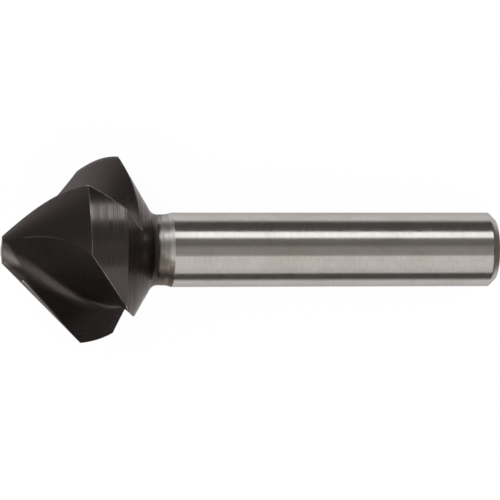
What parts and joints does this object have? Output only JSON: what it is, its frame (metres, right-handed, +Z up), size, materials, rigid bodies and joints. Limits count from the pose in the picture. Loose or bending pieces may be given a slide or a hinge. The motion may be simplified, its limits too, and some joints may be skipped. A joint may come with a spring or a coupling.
{
  "type": "countersink bit",
  "caption": "One-piece countersink bit with a fluted conical head, a short neck and a plain round shank, for bevelling the mouths of drilled holes.",
  "frame": {"origin": "centre of the bounding box on the table that the bit lies on", "axes": "+X runs along the bit from its tip towards the end of the shank, +Z is up from the table, and the bit's own axis dips about 7.3 degrees towards +X because the head is wider than the shank"},
  "size_m": [0.0672, 0.025, 0.0243],
  "materials": {
    "steel": "ground bare steel on the neck and shank, with a near-black satin coat on the fluted head"
  },
  "bodies": {
    "root": {"countersink_bit": "steel"}
  },
  "joints": []
}
